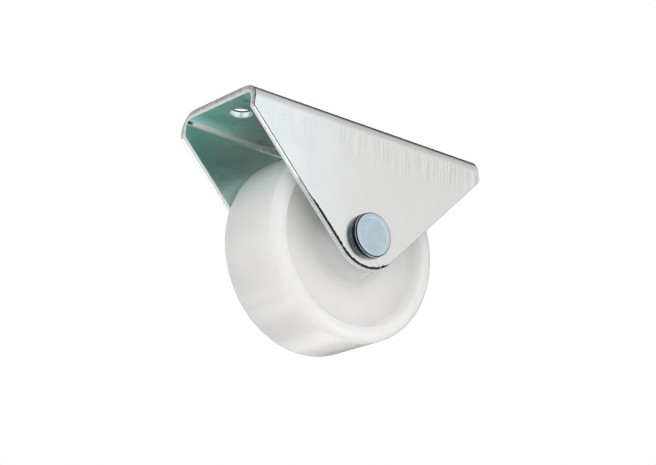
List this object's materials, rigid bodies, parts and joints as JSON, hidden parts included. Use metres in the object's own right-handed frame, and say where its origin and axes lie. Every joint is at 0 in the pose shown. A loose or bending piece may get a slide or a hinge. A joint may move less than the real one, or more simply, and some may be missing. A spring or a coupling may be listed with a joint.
{
  "type": "sliding door roller",
  "caption": "Fixed roller: a plain nylon wheel on a riveted axle between the pointed ears of a folded zinc-plated steel bracket with a flat screw-on back.",
  "frame": {"origin": "centre of the bracket's flat mounting face", "axes": "+Z out of the mounting face, towards the door that the roller is screwed to; +X along the bracket, which is the rolling direction; the axle lies along Y, with the rivet's flat head on the -Y side"},
  "size_m": [0.072, 0.0338, 0.0546],
  "materials": {
    "zinc_plate": "bright zinc plating with fine draw marks below the bends",
    "natural_nylon": "satin, slightly translucent milky white",
    "zinc_rivet": "smooth blue-bright zinc plating",
    "bright_steel": "bright drawn steel tube, lightly greased"
  },
  "bodies": {
    "bracket_body": {"bracket": "zinc_plate", "axle_rivet": "zinc_rivet", "axle_sleeve": "bright_steel"},
    "wheel_body": {"wheel": "natural_nylon"}
  },
  "joints": [
    {"name": "wheel_spin", "type": "hinge", "parent": "bracket_body", "child": "wheel_body", "pos_m": [0, 0, -0.0296], "axis": [0, 1, 0], "continuous": true}
  ]
}
